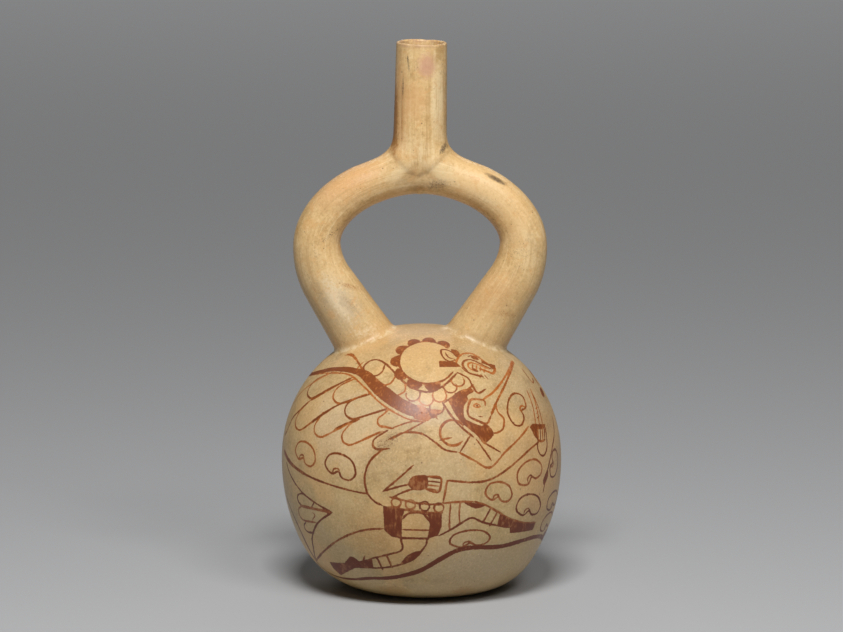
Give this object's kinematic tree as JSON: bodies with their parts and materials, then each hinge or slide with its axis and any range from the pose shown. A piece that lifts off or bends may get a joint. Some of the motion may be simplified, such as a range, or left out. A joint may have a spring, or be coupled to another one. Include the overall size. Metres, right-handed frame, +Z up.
{
  "type": "stirrup spout vessel",
  "caption": "Round hollow bottle of fired clay with a stirrup-shaped tube handle that carries one straight spout, cream slip with red-brown line painting.",
  "frame": {"origin": "middle of the underside, on the surface the vessel stands on, below the body's axis", "axes": "+Z up along the spout, +X along the plane of the stirrup arch, -Y towards the viewer of the painted figure"},
  "size_m": [0.144, 0.144, 0.2831],
  "materials": {
    "slipped_clay": "burnished cream slip, softly glossy, with red-brown painting"
  },
  "bodies": {
    "root": {"vessel": "slipped_clay"}
  },
  "joints": []
}
